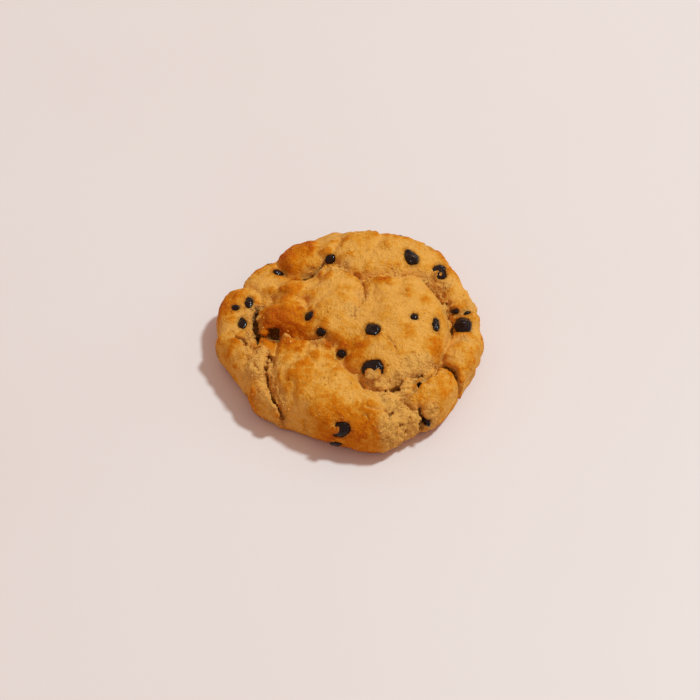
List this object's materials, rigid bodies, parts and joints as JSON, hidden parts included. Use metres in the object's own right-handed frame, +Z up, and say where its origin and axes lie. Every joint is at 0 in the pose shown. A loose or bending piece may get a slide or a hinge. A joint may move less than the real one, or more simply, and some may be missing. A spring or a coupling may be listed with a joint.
{
  "type": "chocolate chip cookie",
  "caption": "Thick round baked cookie of folded, cracked dough with chocolate chips set in its top and sides, flat underneath.",
  "frame": {"origin": "centre of the cookie's footprint on its flat underside", "axes": "+Z up through the thickness, -Y towards the viewer of the picture, +X to that viewer's right"},
  "size_m": [0.0994, 0.1026, 0.0262],
  "materials": {
    "baked_dough": "dry, matt and grainy baked crust, golden with browner raised edges",
    "chocolate": "dark chocolate with a soft sheen"
  },
  "bodies": {
    "root": {"dough": "baked_dough", "chip_01": "chocolate", "chip_02": "chocolate", "chip_03": "chocolate", "chip_04": "chocolate", "chip_05": "chocolate", "chip_06": "chocolate", "chip_07": "chocolate", "chip_08": "chocolate", "chip_09": "chocolate", "chip_10": "chocolate", "chip_11": "chocolate", "chip_12": "chocolate", "chip_13": "chocolate", "chip_14": "chocolate", "chip_15": "chocolate", "chip_16": "chocolate", "chip_17": "chocolate", "chip_18": "chocolate", "chip_19": "chocolate", "chip_20": "chocolate", "chip_21": "chocolate", "chip_22": "chocolate", "chip_23": "chocolate", "chip_24": "chocolate", "chip_25": "chocolate", "chip_26": "chocolate", "chip_27": "chocolate", "chip_28": "chocolate"}
  },
  "joints": []
}
